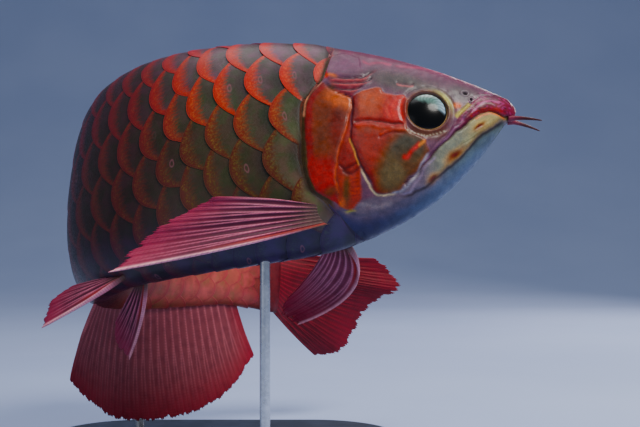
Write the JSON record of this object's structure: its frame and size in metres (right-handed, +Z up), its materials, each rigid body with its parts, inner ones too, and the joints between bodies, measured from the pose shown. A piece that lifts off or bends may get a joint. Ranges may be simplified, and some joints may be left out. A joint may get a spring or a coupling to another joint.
{
  "type": "asian arowana display model",
  "caption": "Life-size still model of an Asian arowana in a tight turn to its left, on a plain display stand.",
  "frame": {"origin": "centre of the underside of the stand's base", "axes": "+Z up; +X towards the side that the snout points to; +Y away from the fish's flank that faces the viewer"},
  "size_m": [0.3232, 0.321, 0.2715],
  "materials": {
    "head_skin": "satin wet fish skin, purple-grey above and rust red on the cheeks",
    "jaw": "satin wet fish skin, pale gold to blue grey",
    "gill_cover": "satin bony plate, rust orange",
    "scales": "glossy overlapping scales, olive centres with orange-red rims",
    "fins": "crimson membrane with pale rays",
    "eye": "wet black pupil with a gold ring",
    "barbel": "dark red feeler",
    "stand_base": "satin black plate",
    "stand_rod": "brushed rod"
  },
  "bodies": {
    "root": {"head": "head_skin", "lower_jaw": "jaw", "gill_cover_right": "gill_cover", "eye_right": "eye", "barbel_right": "barbel", "gill_cover_left": "gill_cover", "eye_left": "eye", "barbel_left": "barbel", "trunk_front": "scales", "trunk_middle": "scales", "trunk_rear": "scales", "tail_stalk": "scales", "pectoral_fin_right": "fins", "pectoral_fin_left": "fins", "pelvic_fin_right": "fins", "pelvic_fin_left": "fins", "anal_fin": "fins", "dorsal_fin": "fins", "tail_fin": "fins", "stand_base": "stand_base", "stand_rod_front": "stand_rod", "stand_rod_rear": "stand_rod"}
  },
  "joints": []
}
